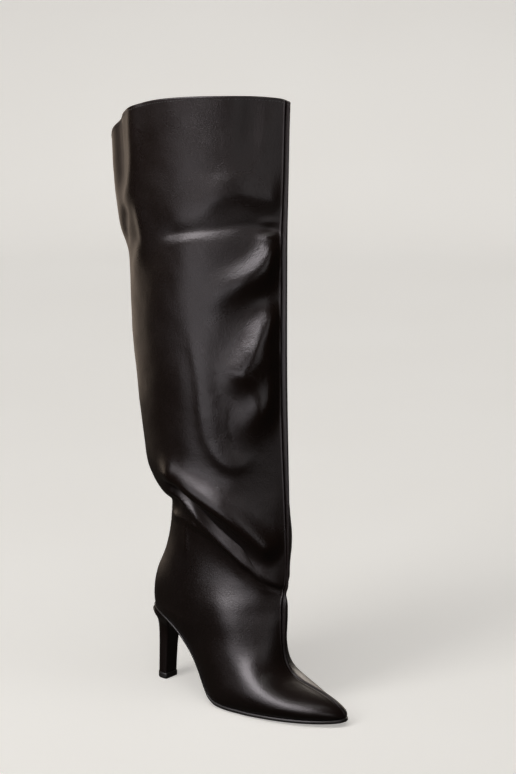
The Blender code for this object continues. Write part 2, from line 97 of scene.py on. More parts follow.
SHAFT = (  # these close round the back, so they have no sole's edge and stand on the middle line
    # back         front          out   in    nose_out in  rise    lift
    # back of the heel and ankle
    (-11.5,  79.2, 150.0, 107.0, 33.3, 33.0, 1.60, 1.35,  0,  0,   1,   0),
    (-12.2,  88.0, 150.0, 108.2, 33.5, 33.3, 1.60, 1.35,  0,  0,   4,   3),
    (-11.0, 100.0, 149.6, 109.5, 33.8, 33.6, 1.60, 1.35,  0,  0,   8,   5),
    ( -6.5, 116.0, 149.2, 110.8, 34.2, 34.2, 1.60, 1.30,  0,  0,  14,  10),
    (  2.0, 135.0, 148.8, 112.1, 34.6, 35.4, 1.55, 1.25,  0,  0,  22,  16),
    (  8.5, 155.0, 148.4, 113.6, 35.0, 36.6, 1.50, 1.20,  0,  0,  30,  21),
    ( 11.8, 175.0, 148.0, 115.6, 35.6, 38.4, 1.50, 1.15,  0,  0,  36,  26),
    # the roll over the ankle
    ( 13.0, 197.0, 148.2, 119.0, 36.4, 40.4, 1.50, 1.12,  0,  0,  42,  29),
    (  2.5, 206.0, 150.2, 125.0, 45.5, 49.0, 1.50, 1.08,  7,  5,  42,  29),
    ( -9.0, 217.0, 150.8, 141.0, 46.5, 50.0, 1.60, 1.06,  9,  6,  38,  26),
    # calf
    (-15.0, 235.0, 151.2, 165.0, 50.0, 50.5, 1.80, 1.15,  2,  2,  29,  20),
    (-20.0, 260.0, 151.0, 203.0, 51.0, 50.5, 2.00, 1.50,  0,  0,  16,  10),
    (-26.0, 303.0, 149.5, 261.0, 53.0, 52.0, 2.10, 1.95,  0,  0,   5,   4),
    (-31.0, 351.0, 147.8, 327.0, 55.0, 53.5, 2.10, 2.10,  0,  0,   0,   0),
    (-34.0, 400.0, 147.0, 395.0, 56.5, 55.0, 2.10, 2.10,  3,  2,   0,   0),
    # knee, thigh and collar
    (-34.0, 430.0, 146.6, 463.0, 57.0, 55.5, 2.10, 2.10,  8,  5,   0,   0),
    (-46.0, 449.0, 147.0, 486.0, 58.0, 56.5, 2.10, 2.10, 11,  7,   0,   0),
    (-52.0, 476.0, 147.5, 513.0, 59.0, 57.5, 2.10, 2.10, 14,  9,   0,   0),
    (-56.0, 509.0, 148.0, 552.0, 60.0, 58.5, 2.10, 2.10, 26, 16, -10,  -6),
    (-57.0, 533.0, 149.0, 585.0, 60.0, 58.5, 2.10, 2.10, 39, 24, -23, -17),
)
TABLE = np.array([row + (0, 0, 0, 0) for row in FOOT]
                 + [row[:4] + (0, 0, 0) + row[4:] for row in SHAFT], float)
HEEL_ROW = len(FOOT)
LAST_ROW = len(TABLE) - 1

HEEL_LEVELS = (
    # back_z front_z back_f front_f half_width
    (6.3,   6.3,  -8.5,  5.4,  8.7),
    (18.0,  18.0, -8.2,  6.0,  8.8),
    (34.0,  34.0, -8.0,  7.0,  9.1),
    (50.0,  48.0, -7.9,  8.6,  9.8),
    (61.0,  57.0,  -8.4, 11.0, 12.0),
    (68.5,  62.5,  -9.3, 14.6, 16.5),
    (73.2,  66.8, -10.4, 18.6, 20.6),
)
HEEL_TOP = (-11.2, 21.5, 22.6)
LIFT = (-9.1, 5.9, 9.1)

# --- the upper's fine surface ---
ROWS = 341  # an odd number: the inner faces use every second row
SIDE_PLAIN = 96  # columns on each side up to the seam's zone
SIDE_SEAM = 14  # columns in the seam's zone
SEAM_ZONE = 7.0  # its width on each side, measured over the surface
SEAM_SHARE = 0.3  # the most of a short toe section's side that it may take
CURVE_STEPS = 260  # points along a section before it is divided
PLACE_STEPS = 60  # places tried between two sections
# From, to, and how much closer the rows lie: at the roll and at the collar.
CLOSE_ROWS = ((27.2, 30.6, 1.7), (LAST_ROW - 0.35, LAST_ROW, 3.2))

EVEN_ROUNDS = 60
# How strongly the sheet is evened up the boot, as (place along the table, share), and across it.
EVEN_ALONG = ((0, 0.02), (4, 0.10), (15, 0.30), (HEEL_ROW - 1, 1.0), (HEEL_ROW + 2.5, 1.0), (26, 0.25),
              (28, 0.08), (31, 0.10), (33, 0.45), (LAST_ROW - 1, 0.45), (LAST_ROW, 0.2))
EVEN_ACROSS = 0.45
# Along the table: how far from the sole's edge, or from the centre back, the evening is full.
EVEN_FROM_EDGE = ((0, 14.0), (14, 16.0), (HEEL_ROW - 3, 50.0), (HEEL_ROW + 2, 50.0), (HEEL_ROW + 5, 0.1))
EVEN_EDGE_START = 0.5  # it starts at this share of that distance
EVEN_SEAM = (8.0, 24.0)  # from the seam, the evening across grows over this distance
FOOT_EDGE_KEPT = (1.0, 12.0)  # from the sole's edge, dents and folds do so over this one

# --- the front seam ---
RIB_HEIGHT = 2.4
SPLIT_DEEP, SPLIT_WIDE = 1.1, 0.35  # the line between the two leather edges on the rib
LIP_RISES, LIP_HIGH = (0.15, 0.6), 0.45  # the inner side's edge stands a little higher
RIB_FLAT, RIB_FOOT = 1.0, 2.6  # half widths of its top and of its foot
ROLL_HIGH, ROLL_AT, ROLL_WIDE = 0.7, 4.4, 0.9  # the leather's soft roll beside the groove
RIB_GROWS = ((3.0, 0.0), (20.0, 0.35), (60.0, 0.45), (95.0, 1.0))  # height of the seam, share of the rib
# The groove between rib and roll. Less the roll it is 0.88 deep, which leaves almost none of LEATHER.
GROOVE_AT, GROOVE_WIDE, GROOVE_DEEP = 3.2, 0.8, 1.0

# --- the collar ---
LEATHER = 0.9  # the leather's own thickness; the lining fills the rest of the wall
FACING_DEEP = 11.0  # the leather turned in at the collar
FACING_THICK = WALL + 0.3
RIM_STEPS = 4
STITCH_DOWN = 2.6  # the collar's stitches lie so far under its edge
STITCH_LONG, STITCH_GAP, STITCH_ROUND = 2.3, 0.8, 0.30
STITCH_RISE, STITCH_SUNK = 0.34, 0.16  # how far a stitch's middle stands out, and its ends go in
STITCH_RINGS = (-1.0, -0.8, -0.4, 0.0, 0.4, 0.8, 1.0)
STITCH_SIDES = 6
STITCH_TAPER, STITCH_TIP = 0.35, 0.02  # how bluntly a stitch narrows, and how thick its end is
STITCH_AHEAD = 0.5  # how far along the line its direction is read
RIM_HIGH = 0.5
LINING_CLEAR = 0.05

# --- how finely the sole and heel are divided ---
SOLE_STEPS, SOLE_END_STEPS = 150, 14
PLATE_COLUMNS = 25
EDGE_ROUND = 0.45
INSOLE_DISH = 0.8  # the foot bed's middle lies lower than its edges
ARC_STEPS = 48
CORNER_STEPS = 8
SIDE_PARTS, BREAST_PARTS = 6, 12
HEEL_RINGS = 90
LIFT_RINGS = (  # how far in, and the height
    (0.7, 0.0), (0.25, 0.25), (0.0, 0.8), (0.0, 2.0), (0.0, 3.5), (0.0, 5.2), (0.2, 5.8), (0.5, 6.0))
FEATHER_STEPS = 8  # places for each section along the upper's lower edge
SHARP_EDGE = np.radians(55.0)


# --- the section table as a smooth curve ---
def slopes(values):
    """Slopes for a curve through the rows that never overshoots them."""
    step = np.diff(values, axis=0)
    same = step[:-1] * step[1:] > 0
    total = np.where(same, step[:-1] + step[1:], 1.0)
    found = np.zeros_like(values)
    found[1:-1] = np.where(same, 2.0 * step[:-1] * step[1:] / total, 0.0)
    found[0] = step[0]
    found[-1] = step[-1]
    return found


def between(values, steepness, t):
    """The curve through the rows of values, at a place t along them."""
    i = min(int(t), len(values) - 2)
    x = t - i
    a, b = values[i], values[i + 1]
    m, n = steepness[i], steepness[i + 1]
    return (a * (1 + 2 * x) * (1 - x) ** 2 + m * x * (1 - x) ** 2
            + b * x * x * (3 - 2 * x) + n * x * x * (x - 1))


SLOPES = slopes(TABLE)


def section_row(t):
    return between(TABLE, SLOPES, t)


def unit(vectors):
    return vectors / np.maximum(np.linalg.norm(vectors, axis=-1, keepdims=True), 1e-9)


def run_along(points):
    """Each point's distance along the line of them."""
    return np.concatenate([[0.0], np.cumsum(np.linalg.norm(np.diff(points, axis=0), axis=1))])


def read_off(at, run, values):
    """The values' columns at places along the run."""
    return np.stack([np.interp(at, run, column) for column in values.T], axis=-1)


def side_curve(row, side):
    """Points (x, forward, z) from the sole's edge or the back to the front seam, on one side."""
    v = dict(zip(COLUMNS, row))
    sign = -1 if side == "out" else 1
    half, edge, nose = v[side], v["sole_" + side], v["nose_" + side]
    start = np.arcsin(min(1.0, max(0.0, edge / half))) if half > 0 else 0.0
    turn = np.linspace(start, np.pi, CURVE_STEPS)
    along = (np.cos(start) - np.cos(turn)) / (np.cos(start) + 1.0)
    bulge = np.abs(np.sin(turn))
    ahead = turn > np.pi / 2
    wide = np.where(ahead, bulge ** nose, bulge)
    high = v["rise_" + side] * np.where(ahead, bulge, bulge ** BACK_RISE) + v["lift_" + side] * along * bulge
    return np.stack([
        v["line"] + sign * half * wide,
        v["back_f"] + (v["front_f"] - v["back_f"]) * along,
        v["back_z"] + (v["front_z"] - v["back_z"]) * along + high,
    ], axis=1)


def side_points(row, side):
    """The curve at the fine columns, and each column's distance from the seam and from the other end."""
    curve = side_curve(row, side)
    run = run_along(curve)
    whole = run[-1]
    zone = min(SEAM_ZONE, SEAM_SHARE * whole)
    at = np.concatenate([np.linspace(0.0, whole - zone, SIDE_PLAIN + 1),
                         whole - zone + zone * np.arange(1, SIDE_SEAM + 1) / SIDE_SEAM])
    return read_off(at, run, curve), (whole - at) * SEAM_ZONE / max(zone, 1e-6), at


def fine_places():
    """Places of the rows along the table: even steps up the boot, closer at the roll and the collar."""
    t = np.linspace(0.0, LAST_ROW, PLACE_STEPS * LAST_ROW + 1)
    rows = np.array([section_row(x) for x in t])
    step = sum(np.linalg.norm(np.diff(rows[:, k:k + 2], axis=0), axis=1) for k in (0, 2)) / 2
    middle = (t[1:] + t[:-1]) / 2
    for low, high, closer in CLOSE_ROWS:
        step = step * np.where((middle > low) & (middle < high), closer, 1.0)
    run = np.concatenate([[0.0], np.cumsum(step)])
    places = np.interp(np.linspace(0.0, run[-1], ROWS), run, t)
    nearest = 2 * int(round(np.argmin(np.abs(places - HEEL_ROW)) / 2))
    places[nearest] = HEEL_ROW
    return places, nearest


def smooth_step(values, low, high):
    x = np.clip((values - low) / (high - low), 0.0, 1.0)
    return x * x * (3 - 2 * x)


def neighbours(sheet):
    """Each point's neighbours along its row. Round the closed leg the row goes on past the back."""
    left, right = np.roll(sheet, 1, axis=1), np.roll(sheet, -1, axis=1)
    left[:, 0] = sheet[:, -2]
    right[:, -1] = sheet[:, 1]
    return left, right


def even_out(sheet, places, from_seam, from_edge):
    """Takes the table's own small corners out of the sheet. The sole's edge and the rim stay."""
    along = np.interp(places, *np.array(EVEN_ALONG).T)[:, None] * np.ones(sheet.shape[1])
    across = EVEN_ACROSS * smooth_step(from_seam, *EVEN_SEAM)
    full = np.interp(places, *np.array(EVEN_FROM_EDGE).T)[:, None]
    keep_edge = smooth_step(from_edge, EVEN_EDGE_START * full, full)
    along, across = (along * keep_edge)[..., None], (across * keep_edge)[..., None]
    for _ in range(EVEN_ROUNDS):
        middle = (sheet[:-2] + sheet[2:]) / 2
        sheet[1:-1] += along[1:-1] * (middle - sheet[1:-1]) / 2
        left, right = neighbours(sheet)
        sheet += across * ((left + right) / 2 - sheet) / 2
    return sheet


def normals_of(sheet, closed_from):
    """Unit outward directions of the sheet's points."""
    across = np.gradient(sheet, axis=1)
    across[closed_from:, 0] = across[closed_from:, -1] = sheet[closed_from:, 1] - sheet[closed_from:, -2]
    found = unit(np.cross(across, np.gradient(sheet, axis=0)))
    if found[len(sheet) // 2, sheet.shape[1] // 2, 1] < 0:
        found = -found
    found[0] = [0.0, 1.0, 0.0]
    return found


# --- folds ---
# Soft ridges (height over 0) and troughs (under 0), placed on the outer side and the inner one.
# The line's points are (forward, height). left and right are the half widths on each hand, going along
# the line with forward to the right and height up. sharp 0 rounds the fold, 1 creases it. fade is the
# share of the line over which each end dies away.
# height left right sharp fade_start fade_end line
FOLDS_OUT = (
    # the roll over the ankle: broad crest, deep trough, sharp pleat
    ( 6.8, 15.0,  9.0, 0.0, 0.15, 0.15,
     ((24, 232), (50, 227), (66, 220), (84, 210), (103, 197), (119, 183), (136, 165), (146, 150))),
    (-7.0, 13.0,  5.5, 0.2, 0.15, 0.35,
     ((36, 220), (47, 211), (60, 202), (73, 193), (87, 184), (101, 174), (116, 161), (126, 150), (134, 137),
      (138, 125))),
    ( 3.0,  2.6,  4.6, 0.2, 0.12, 0.35,
     ((36, 211), (47, 202), (60, 192), (73, 183), (87, 175), (101, 165), (116, 152), (126, 141), (134, 128),
      (138, 116))),
    # the flat layer under the pleat, which ends in a thin edge over the ankle
    ( 2.2,  5.0,  3.0, 0.5, 0.10, 0.20,
     ((24, 180), (44, 180), (56, 178), (70, 175), (83, 170), (101, 159), (116, 146), (122, 139))),
    ( 0.9,  3.4,  2.6, 0.4, 0.20, 0.20, ((40, 196), (50, 191), (58, 185), (62, 179), (64, 173))),
    ( 1.2,  2.8,  4.0, 0.5, 0.10, 0.50, ((50, 175), (51, 157), (52, 140))),
    # the knee: leather bulges over a long flat crease and comes out again under it
    ( 2.6, 22.0, 12.0, 0.0, 0.50, 0.02,
     ((57, 467), (76, 479), (90, 491), (103, 502), (116, 505), (132, 500), (151, 497))),
    (-3.4, 12.0,  5.5, 0.7, 0.30, 0.60, ((34, 456), (57, 462), (77, 466), (98, 469), (116, 472))),
    (-2.4, 13.0, 10.0, 0.7, 0.50, 0.05,
     ((70, 465), (98, 469), (116, 472), (132, 472), (146, 471))),
    # puckers at the seam over the knee
    ( 1.5,  3.2,  3.8, 0.1, 0.50, 0.05, ((126, 475), (137, 476), (146, 475))),
    (-1.0,  3.0,  3.0, 0.0, 0.50, 0.05, ((128, 468), (138, 468), (146, 468))),
    ( 1.5,  3.4,  3.6, 0.1, 0.50, 0.05, ((126, 462), (137, 462), (146, 463))),
    (-1.0,  3.0,  3.0, 0.0, 0.50, 0.05, ((132, 455), (139, 457), (146, 458))),
    # three slack bands that fall from the seam towards the calf
    ( 7.5, 17.0, 15.0, 0.0, 0.20, 0.65,
     ((149, 462), (143, 453), (137, 441), (130, 430), (120, 421), (108, 413), (92, 404), (80, 399))),
    ( 7.0, 18.0, 16.0, 0.0, 0.25, 0.30,
     ((149, 402), (143, 390), (137, 375), (129, 356), (121, 338), (115, 325), (104, 308))),
    ( 5.5, 13.0, 16.0, 0.0, 0.25, 0.35,
     ((148, 366), (145, 346), (143, 328), (138, 308), (129, 292), (116, 280))),
    # the soft U where the calf's flat front part begins
    ( 2.4, 16.0,  8.0, 0.0, 0.30, 0.30,
     ((78, 400), (80, 360), (86, 327), (89, 288), (93, 268), (102, 252), (114, 245), (124, 254),
      (125, 285))),
    ( 3.0, 14.0, 20.0, 0.0, 0.30, 0.30,
     ((129, 410), (129, 360), (130, 320), (128, 282), (122, 256))),
    # the soft edge from the ankle over the instep to the toe
    ( 2.0, 14.0, 12.0, 0.0, 0.50, 0.30,
     ((104, 116), (107, 95), (110, 75), (116, 57), (130, 42), (152, 30), (178, 20), (200, 14))),
    # upright folds behind the outer side of the thigh
    (-2.0, 11.0, 13.0, 0.0, 0.02, 0.50,
     ((126, 612), (126, 585), (125, 560), (123, 535), (118, 512))),
    ( 2.6, 14.0,  8.0, 0.0, 0.05, 0.30,
     ((6, 584), (6, 560), (7, 530), (3, 508), (-6, 490), (-20, 474))),
    (-5.0, 13.0, 13.0, 0.0, 0.02, 0.40,
     ((-26, 582), (-24, 552), (-22, 522), (-24, 500), (-30, 484))),
    ( 2.6, 13.0,  8.0, 0.0, 0.30, 0.40,
     ((4, 506), (12, 484), (16, 466), (17, 452), (9, 440), (0, 425), (0, 400))),
    (-3.0,  7.0,  9.0, 0.0, 0.35, 0.35, ((-4, 490), (-14, 473), (-18, 456), (-14, 440))),
)
FOLDS_IN = (
    # the inner side, which the photo doesn't show: much the same slack, not its mirror image
    ( 4.0, 14.0,  9.0, 0.0, 0.15, 0.50,
     ((24, 222), (50, 214), (66, 206), (84, 197), (103, 186), (119, 176))),
    (-5.0, 12.0,  5.0, 0.2, 0.15, 0.15,
     ((36, 208), (55, 199), (73, 189), (91, 179), (108, 168), (124, 156), (137, 143), (143, 124))),
    ( 2.2,  4.0,  5.0, 0.2, 0.12, 0.25,
     ((36, 200), (55, 190), (73, 180), (91, 170), (108, 159), (124, 147), (136, 134), (141, 118))),
    ( 2.4, 18.0, 12.0, 0.2, 0.50, 0.40,
     ((50, 470), (75, 482), (100, 490), (125, 494), (145, 492))),
    (-3.4, 12.0,  7.0, 0.6, 0.25, 0.05,
     ((30, 452), (55, 459), (80, 464), (105, 462), (128, 468), (147, 474))),
    ( 5.0, 14.0, 13.0, 0.0, 0.55, 0.45,
     ((143, 456), (134, 441), (121, 427), (104, 415), (82, 408))),
    ( 4.5, 12.0, 12.0, 0.0, 0.60, 0.35,
     ((142, 406), (133, 388), (122, 366), (111, 346), (98, 330))),
    ( 3.0, 10.0, 12.0, 0.0, 0.55, 0.35,
     ((139, 368), (137, 344), (132, 318), (124, 294), (112, 280))),
    ( 2.2, 12.0,  8.0, 0.0, 0.30, 0.30,
     ((72, 380), (76, 345), (84, 312), (92, 280), (106, 258), (122, 262))),
    ( 2.4, 12.0,  8.0, 0.0, 0.05, 0.30, ((0, 584), (-1, 556), (-2, 526), (-8, 500), (-20, 480))),
    (-4.0, 12.0, 12.0, 0.0, 0.02, 0.40, ((-30, 582), (-29, 550), (-28, 520), (-32, 490))),
)
FOLD_SEAM = (0.0, 17.0)  # folds grow over this distance from the front seam
DENT_SEAM = (0.0, 14.0)
LINE_STEP = 2.0  # spacing of the places looked at along a fold
LINE_NEAR = 3.0  # reach of the points that settle where a fold's line lies
CREASE_ROUND, CREASE_FALL = 0.12, 1.5  # a sharp fold's roundness at its line, and how fast it dies away
FOLD_REACH = 3.0  # a fold is worked out this many half widths round its line
# The leather's slack: length and height of its waves, and where they grow to their full height, from the
# seam and up the sections. They keep only a part of it near the collar.
WAVE = ((46.0, 0.8), (24.0, 0.3), (12.0, 0.11), (6.5, 0.035))
WAVE_SEAM, WAVE_PLACES = (4.0, 22.0), (8.0, 27.0)
WAVE_LOST, WAVE_COLLAR = 0.7, LAST_ROW - 1.5
WAVE_SEED = (3.1, 7.7, 1.3)

# Pushes on the outer side that aren't folds: middle (forward, height), reach (forward, height), move.
DENTS = (
    # the roll's lip runs steeply: higher behind and lower ahead than the CAD's
    ((54, 196), (17, 24), (0.0, 0.0, 16.0)),
    ((134, 158), (30, 30), (0.0, 0.0, -22.0)),
    ((100, 178), (18, 25), (0.0, 0.0, -6.0)),
    # the ankle is drawn in under the roll and flares out below
    ((94, 150), (40, 34), (7.0, 0.0, 0.0)),
    ((102, 94), (26, 22), (-6.0, 0.0, 1.0)),
    # the waist, which makes the forefoot's upper side turn away earlier
    ((94, 50), (20, 24), (-3.0, 0.0, 0.0)),
)


def curve_through(points):
    """A smooth line through a few places, as places every LINE_STEP."""
    values = np.array(points, float)
    steepness = np.gradient(values, axis=0)
    long = np.linalg.norm(np.diff(values, axis=0), axis=1).sum()
    t = np.linspace(0.0, len(values) - 1, max(4, int(long / LINE_STEP)))
    return np.array([between(values, steepness, x) for x in t])


def on_surface(line, points):
    """The line's places with the x that the points near them have."""
    away = ((points[None, :, 1:] - line[:, None]) ** 2).sum(2)
    near = np.exp((away.min(1, keepdims=True) - away) / LINE_NEAR ** 2)
    return np.column_stack([near @ points[:, 0] / near.sum(1), line])


def to_line(points, places):
    """Each point's distance from the line, and how many places along it the nearest one lies."""
    start, step = places[:-1], np.diff(places, axis=0)
    offset = points[:, None] - start
    along = np.clip((offset * step).sum(2) / (step ** 2).sum(1), 0.0, 1.0)
    away = np.linalg.norm(offset - along[..., None] * step, axis=2)
    best = (np.arange(len(points)), away.argmin(1))
    return away[best], best[1] + along[best]


def fold_shape(points, places, height, left, right, sharp, fade_start, fade_end):
    """The fold's height at each point."""
    away, at = to_line(points, places)
    heading = unit(np.diff(places[:, 1:], axis=0))
    heading = heading[np.minimum(at.astype(int), len(heading) - 1)]
    line = np.stack([np.interp(at, np.arange(len(places)), places[:, k]) for k in (1, 2)], axis=1)
    offset = points[:, 1:] - line
    leftward = np.tanh(heading[:, 0] * offset[:, 1] - heading[:, 1] * offset[:, 0])
    wide = (left + right + (left - right) * leftward) / 2
    share = at / (len(places) - 1)
    fade = smooth_step(share, 0.0, fade_start) * smooth_step(1.0 - share, 0.0, fade_end)
    reach = away / wide
    crease = np.exp(CREASE_FALL * (CREASE_ROUND - np.sqrt(reach ** 2 + CREASE_ROUND ** 2)))
    soft = np.exp(-reach ** 2)
    return height * fade * (soft + sharp * (crease - soft))


def fold_heights(sheet, from_seam):
    """How far each point of the sheet is moved outward by the folds."""
    heights = np.zeros(sheet.shape[:2])
    middle = sheet.shape[1] // 2
    for side, folds in ((np.s_[:, :middle + 1], FOLDS_OUT), (np.s_[:, middle:], FOLDS_IN)):
        flat = sheet[side].reshape(-1, 3)
        for *shape, line in folds:
            line = curve_through(line)
            reach = FOLD_REACH * max(shape[1:3])
            near = ((flat[:, 1:] > line.min(0) - reach) & (flat[:, 1:] < line.max(0) + reach)).all(1)
            moved = np.zeros(len(flat))
            moved[near] = fold_shape(flat[near], on_surface(line, flat[near]), *shape)
            heights[side] += moved.reshape(heights[side].shape)
    return heights * smooth_step(from_seam, *FOLD_SEAM)


def slack(sheet, from_seam, places):
    """Low irregular waves: none at the sole and the seam, and lower ones at the collar."""
    waves = np.zeros(sheet.shape[:2])
    for long, high in WAVE:
        points = sheet / long + np.array(WAVE_SEED)
        waves += high * np.array([noise.noise(Vector(p)) for p in points.reshape(-1, 3)]).reshape(waves.shape)
    calm = smooth_step(from_seam, *WAVE_SEAM) * smooth_step(places, *WAVE_PLACES)[:, None]
    return waves * calm * (1.0 - WAVE_LOST * smooth_step(places, WAVE_COLLAR, LAST_ROW)[:, None])


def push_dents(sheet, keep):
    """The sheet with every dent's push added."""
    outer = np.s_[:, :sheet.shape[1] // 2 + 1]
    part, pushed = sheet[outer], sheet.copy()
    for (forward, height), (wide, high), move in DENTS:
        near = np.exp(-((part[..., 1] - forward) / wide) ** 2 - ((part[..., 2] - height) / high) ** 2)
        pushed[outer] += (near * keep[outer])[..., None] * np.array(move)
    return pushed


def raise_seam(points, out, from_seam):
    """The centre front seam: a rib of two leather edges, with a groove along each side."""
    middle = points.shape[1] // 2
    ahead = unit(out[:, middle] * [0.0, 1.0, 1.0])[:, None]
    grown = np.interp(points[:, middle, 2], *np.array(RIB_GROWS).T)[:, None]
    side = np.where(np.arange(points.shape[1]) > middle, from_seam, -from_seam)
    split = SPLIT_DEEP * np.exp(-(side / SPLIT_WIDE) ** 2)
    top = RIB_HEIGHT + LIP_HIGH * smooth_step(side, *LIP_RISES) - split
    rib = top * (1.0 - smooth_step(from_seam, RIB_FLAT, RIB_FOOT)) * grown
    groove = GROOVE_DEEP * np.exp(-((from_seam - GROOVE_AT) / GROOVE_WIDE) ** 2) * grown
    roll = ROLL_HIGH * np.exp(-((from_seam - ROLL_AT) / ROLL_WIDE) ** 2) * grown
    return points + ahead * rib[..., None] + out * (roll - groove)[..., None]


class Leg:
    """The upper's surface: its points, directions and distances, worked out once for all its pieces."""

    def __init__(self):
        self.places, self.closed_from = fine_places()
        halves = [[side_points(section_row(t), side) for side in ("out", "in")] for t in self.places]
        rows, self.from_seam, self.from_edge = (
            np.array([np.concatenate([outer[k], inner[k][-2::-1]]) for outer, inner in halves])
            for k in range(3))
        base = even_out(rows, self.places, self.from_seam, self.from_edge)
        foot = (np.arange(ROWS) <= self.closed_from)[:, None]
        keep = np.where(foot, smooth_step(self.from_edge, *FOOT_EDGE_KEPT), 1.0)
        base = push_dents(base, keep * smooth_step(self.from_seam, *DENT_SEAM))
        out = normals_of(base, self.closed_from)
        self.folds = fold_heights(base, self.from_seam)
        lift = self.folds + slack(base, self.from_seam, self.places)
        self.plain = base + out * (lift * keep)[..., None]
        self.plain[:, -1] = np.where(foot, self.plain[:, -1], self.plain[:, 0])
        self.out = normals_of(self.plain, self.closed_from)
        self.outside = raise_seam(self.plain, self.out, self.from_seam)
        self.from_rim = self.up_from_rim()

    def up_from_rim(self):
        """Each point's distance under the collar's edge, along its column."""
        steps = np.linalg.norm(np.diff(self.plain, axis=0), axis=2)
        run = np.concatenate([np.zeros((1, steps.shape[1])), np.cumsum(steps, axis=0)])
        return run[-1] - run

    def inside(self, depth):
        """The wall's face at a depth under the plain surface, at every second row and column.

        It crosses itself a little at the seam's sharp corner and under the roll.
        """
        push = self.out.copy()
        foot_rows = np.s_[:self.closed_from + 1]
        for flat in ((foot_rows, 0), (foot_rows, -1), -1):
            push[flat] = unit(push[flat] * LEVEL)
        return (self.plain - push * np.broadcast_to(depth, self.from_rim.shape)[..., None])[::2, ::2]


LEG = Leg()


# --- making objects ---
def closing_row(sheet):
    """The row of a leg's sheet from which it closes round the back. Inner faces have every second row."""
    return LEG.closed_from // (2 if sheet.shape[1] <= SIDE_PLAIN + SIDE_SEAM + 1 else 1)


def joined_on_leg(sheet, r, c):
    """The toe's row is one point, and from the heel up the last column is the first one."""
    return r == 0 or (r >= closing_row(sheet) and c == sheet.shape[1] - 1)


def joined_on_plate(sheet, r, c):
    """A plate's first and last rows are one point each."""
    return r in (0, len(sheet) - 1)


class Skin:
    """Gathers points and faces from sheets of rows and columns. A joined corner is its row's first one."""

    def __init__(self, joined):
        self.joined = joined
        self.points, self.faces, self.index = [], [], {}

    def vertex(self, sheet, r, c):
        if self.joined(sheet, r, c):
            c = 0
        key = (id(sheet), r, c)
        if key not in self.index:
            self.index[key] = len(self.points)
            self.points.append(sheet[r, c])
        return self.index[key]

    def patch(self, loop):
        """One face, without the corners that have run together."""
        kept = tuple(v for k, v in enumerate(loop) if v != loop[k - 1])
        if len(kept) > 2:
            self.faces.append(kept)

    def cover(self, sheet, turned=False):
        """The sheet's own faces."""
        for r in range(sheet.shape[0] - 1):
            for c in range(sheet.shape[1] - 1):
                corners = ((r, c), (r, c + 1), (r + 1, c + 1), (r + 1, c))
                loop = [self.vertex(sheet, *place) for place in corners]
                self.patch(loop[::-1] if turned else loop)

    def close(self, first, path, second, other):
        """Faces between two sheets along matching paths of places, of which the first may be finer."""
        finer = (len(path) - 1) // (len(other) - 1)
        for k in range(len(other) - 1):
            fine = [self.vertex(first, *place) for place in path[k * finer:(k + 1) * finer + 1]]
            self.patch(fine + [self.vertex(second, *other[k + 1]), self.vertex(second, *other[k])])


def edge_path(sheet, closed_from):
    """Places along the sole's edge: down the outer side to its last row and up the inner side."""
    down = [(r, 0) for r in range(closed_from + 1)]
    return down + [(r, sheet.shape[1] - 1) for r in range(closed_from - 1, -1, -1)]


def top_path(sheet):
    return [(sheet.shape[0] - 1, c) for c in range(sheet.shape[1])]


def wall(outside, inside):
    """A closed skin of the leg between an outer sheet and an inner one."""
    skin = Skin(joined_on_leg)
    skin.cover(outside)
    skin.cover(inside, turned=True)
    edges = [edge_path(sheet, closing_row(sheet)) for sheet in (outside, inside)]
    skin.close(outside, edges[0], inside, edges[1])
    skin.close(outside, top_path(outside), inside, top_path(inside))
    return skin


def inside_out(mesh):
    mesh.calc_loop_triangles()
    places = np.empty(len(mesh.vertices) * 3)
    mesh.vertices.foreach_get("co", places)
    corners = np.empty(len(mesh.loop_triangles) * 3, np.int32)
    mesh.loop_triangles.foreach_get("vertices", corners)
    a, b, c = places.reshape(-1, 3)[corners.reshape(-1, 3)].transpose(1, 0, 2)
    return (a * np.cross(b, c)).sum() < 0


def tube(rings, sides, start=0):
    """Faces between rings of points that follow one another."""
    faces = []
    for r in range(rings - 1):
        for c in range(sides):
            a, b = start + r * sides + c, start + r * sides + (c + 1) % sides
            faces.append((a, b, b + sides, a + sides))
    return faces


def added(name, data):
    """A new object of the data, in the scene."""
    obj = bpy.data.objects.new(name, data)
    bpy.context.scene.collection.objects.link(obj)
    return obj


def object_of(name, points, faces, material, slot_name, *stands_for):
    """A smooth mesh object from points (x, forward, z) in mm, riding on the frame's one body."""
    world = np.array(points, float) * [1.0, -1.0, 1.0] * MM
    mesh = bpy.data.meshes.new(name)
    mesh.from_pydata(world.tolist(), [], faces)
    mesh.update()
    if inside_out(mesh):
        mesh.flip_normals()
    mesh.shade_smooth()
    mesh.set_sharp_from_angle(angle=SHARP_EDGE)
    mesh.materials.append(material)
    obj = added(name, mesh)
    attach(obj, "root")
    if stands_for:
        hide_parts(*stands_for)
    return obj


# --- the upper's pieces ---
def rim_rows():
    """Rows that round the collar's edge over from the outside to the facing."""
    edge, push = LEG.outside[-1], unit(LEG.out[-1] * LEVEL)
    turn = np.pi * np.arange(1, RIM_STEPS + 1)[:, None, None] / (RIM_STEPS + 1)
    up = np.array([0.0, 0.0, RIM_HIGH])
    return edge - push * FACING_THICK / 2 * (1.0 - np.cos(turn)) + up * np.sin(turn)


def facing_row():
    """The even row down to which the leather is turned in."""
    row = int(np.argmax(LEG.from_rim.mean(axis=1) < FACING_DEEP))
    return row + row % 2


